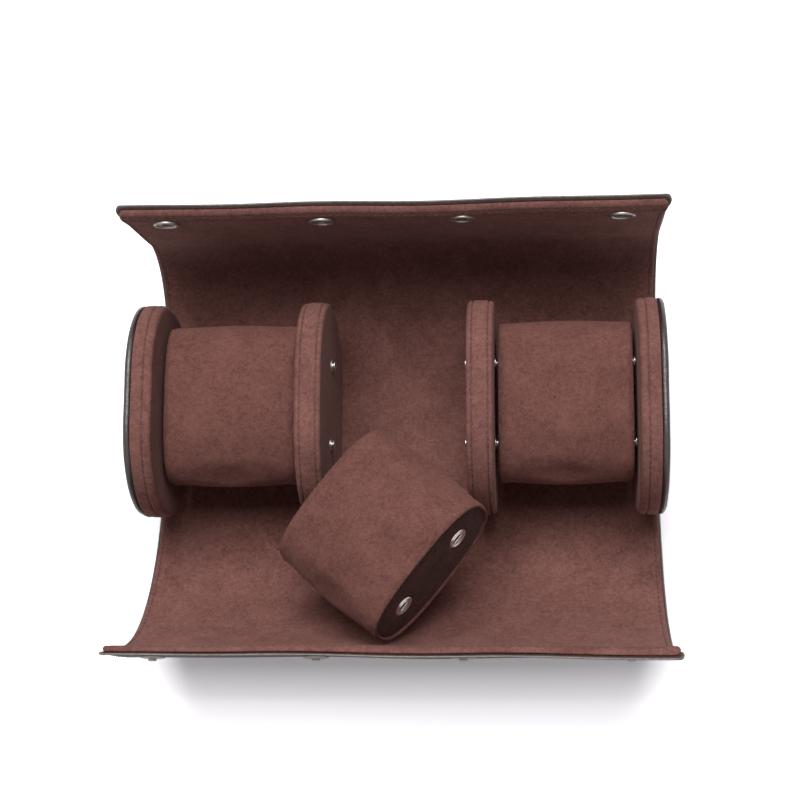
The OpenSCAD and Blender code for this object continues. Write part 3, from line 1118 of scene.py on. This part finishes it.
grey_board = fibre_board("grey_board", colour=(0.42, 0.35, 0.25), size=1.5 * mm)
pale_foam = fibre_board("pale_foam", colour=(0.68, 0.64, 0.56), size=0.6 * mm)
for node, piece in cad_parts.items():
    if node.endswith(("core", "board", "foam")):
        piece.data.materials.clear()
        piece.data.materials.append(pale_foam if node.endswith("foam") else grey_board)

# ---------------------------------------------------------------------------
# Table, light and camera
# A white table top in a white room, a wide soft light from above and behind the
# rear flap, a weak one from the front, and a long lens that looks down on the roll.
# ---------------------------------------------------------------------------

table_reach = 6.0
table_gap = 0.1 * mm
lift_from, lift_to = -0.105, -0.122
lift_least, lift_most = 0.12, 0.53
melt_from, melt_to = 0.5, 0.9
room_light = 0.17

table_mesh = bpy.data.meshes.new("table_top")
signs = ((-1, -1), (1, -1), (1, 1), (-1, 1))
corners = [(x * table_reach, y * table_reach, 0) for x, y in signs]
table_mesh.from_pydata(corners, [], [(0, 1, 2, 3)])
table = bpy.data.objects.new("table_top", table_mesh)
bpy.context.scene.collection.objects.link(table)
table.location.z = -table_gap


def mixed(tree, share, first, second):
    """A shader that mixes two others."""
    made = tree.nodes.new("ShaderNodeMixShader")
    for entry, value in zip(made.inputs, (share, first, second)):
        tree.links.new(value, entry)
    return made.outputs[0]


# To the camera the table is lighter. Painted light, an emission on the table, lifts the
# roll's shadow there, most of all in front of the front lip, and the table melts into
# white far off. All other rays meet plain white paper.
paper, tree, shader, _ = new_finish("white_paper", 0.9, 0.1)
link = tree.links.new
shader.inputs["Base Color"].default_value = (0.86, 0.86, 0.87, 1)
spot = tree.nodes.new("ShaderNodeNewGeometry").outputs["Position"]
axes = tree.nodes.new("ShaderNodeSeparateXYZ")
link(spot, axes.inputs[0])
# Painted light: an emission that lifts the shadow, weak behind the front lip, strong in front.
painted_lift_strength = spread(tree, axes.outputs["Y"], lift_least, lift_most, From_Min=lift_from, From_Max=lift_to)
bleached = add(tree, "BsdfDiffuse", Color=(1.6, 1.575, 1.63, 1))
painted_shadow_lift = add(tree, "Emission", Color=(1, 0.985, 1.02, 1))
link(painted_lift_strength, painted_shadow_lift.inputs["Strength"])
lifted = tree.nodes.new("ShaderNodeAddShader")
link(bleached.outputs[0], lifted.inputs[0])
link(painted_shadow_lift.outputs[0], lifted.inputs[1])
away = tree.nodes.new("ShaderNodeVectorMath")
away.operation = "LENGTH"
link(spot, away.inputs[0])
far_off = spread(tree, away.outputs["Value"], 0, 1, From_Min=melt_from, From_Max=melt_to)
backdrop = add(tree, "Emission", Color=(1, 1, 1, 1))
melted = mixed(tree, far_off, lifted.outputs[0], backdrop.outputs[0])
seen = tree.nodes.new("ShaderNodeLightPath").outputs["Is Camera Ray"]
by_eye = mixed(tree, seen, shader.outputs[0], melted)
link(by_eye, tree.nodes["Material Output"].inputs["Surface"])
table_mesh.materials.append(paper)

# The room lights the roll softly, and is full white to the camera and in what shines.
world = bpy.data.worlds.new("studio")
bpy.context.scene.world = world
world.use_nodes = True
tree = world.node_tree
room = tree.nodes["Background"]
room.inputs["Color"].default_value = (1, 1, 1, 1)
rays = tree.nodes.new("ShaderNodeLightPath").outputs
shown = maths(tree, "MAXIMUM", rays["Is Camera Ray"], rays["Is Glossy Ray"])
shown = maths(tree, "MAXIMUM", shown, rays["Is Transmission Ray"])
tree.links.new(spread(tree, shown, room_light, 1), room.inputs["Strength"])


def softbox(name, place, aim, wide, deep, power):
    """A rectangular soft light that points from its place to its aim."""
    lamp = bpy.data.lights.new(name, "AREA")
    lamp.shape = "RECTANGLE"
    lamp.size = wide
    lamp.size_y = deep
    lamp.energy = power
    made = bpy.data.objects.new(name, lamp)
    made.location = place
    made.rotation_euler = (Vector(aim) - Vector(place)).to_track_quat("-Z", "Y").to_euler()
    bpy.context.scene.collection.objects.link(made)


softbox("top_softbox", (-0.03, 0.6, 1.46), (0, -0.02, 0.05), wide=1.1, deep=1.1, power=27.5)
softbox("front_fill", (0.1, -1.2, 1.3), (0, 0, 0.05), wide=1.2, deep=0.8, power=0.8)

eye = Vector((58.89, -134.01, 747.52)) * mm
elevation = 1.3775
yaw = -0.08218
roll = -0.01202
focal = 76.5
ahead = Vector((0, math.cos(elevation), -math.sin(elevation)))
above = Vector((0, math.sin(elevation), math.cos(elevation)))
right = Vector((1, 0, 0))
look = ahead * math.cos(yaw) + right * math.sin(yaw)
across = right * math.cos(yaw) - ahead * math.sin(yaw)
camera_right = across * math.cos(roll) + above * math.sin(roll)
camera_up = above * math.cos(roll) - across * math.sin(roll)
camera_data = bpy.data.cameras.new("camera")
camera_data.lens = focal
camera_data.sensor_width = 36
camera_data.clip_start = 0.01
camera = bpy.data.objects.new("camera", camera_data)
bpy.context.scene.collection.objects.link(camera)
turned = Matrix((camera_right, camera_up, -look)).transposed()
camera.matrix_world = Matrix.Translation(eye) @ turned.to_4x4()
bpy.context.scene.camera = camera
bpy.context.scene.view_settings.view_transform = "Standard"
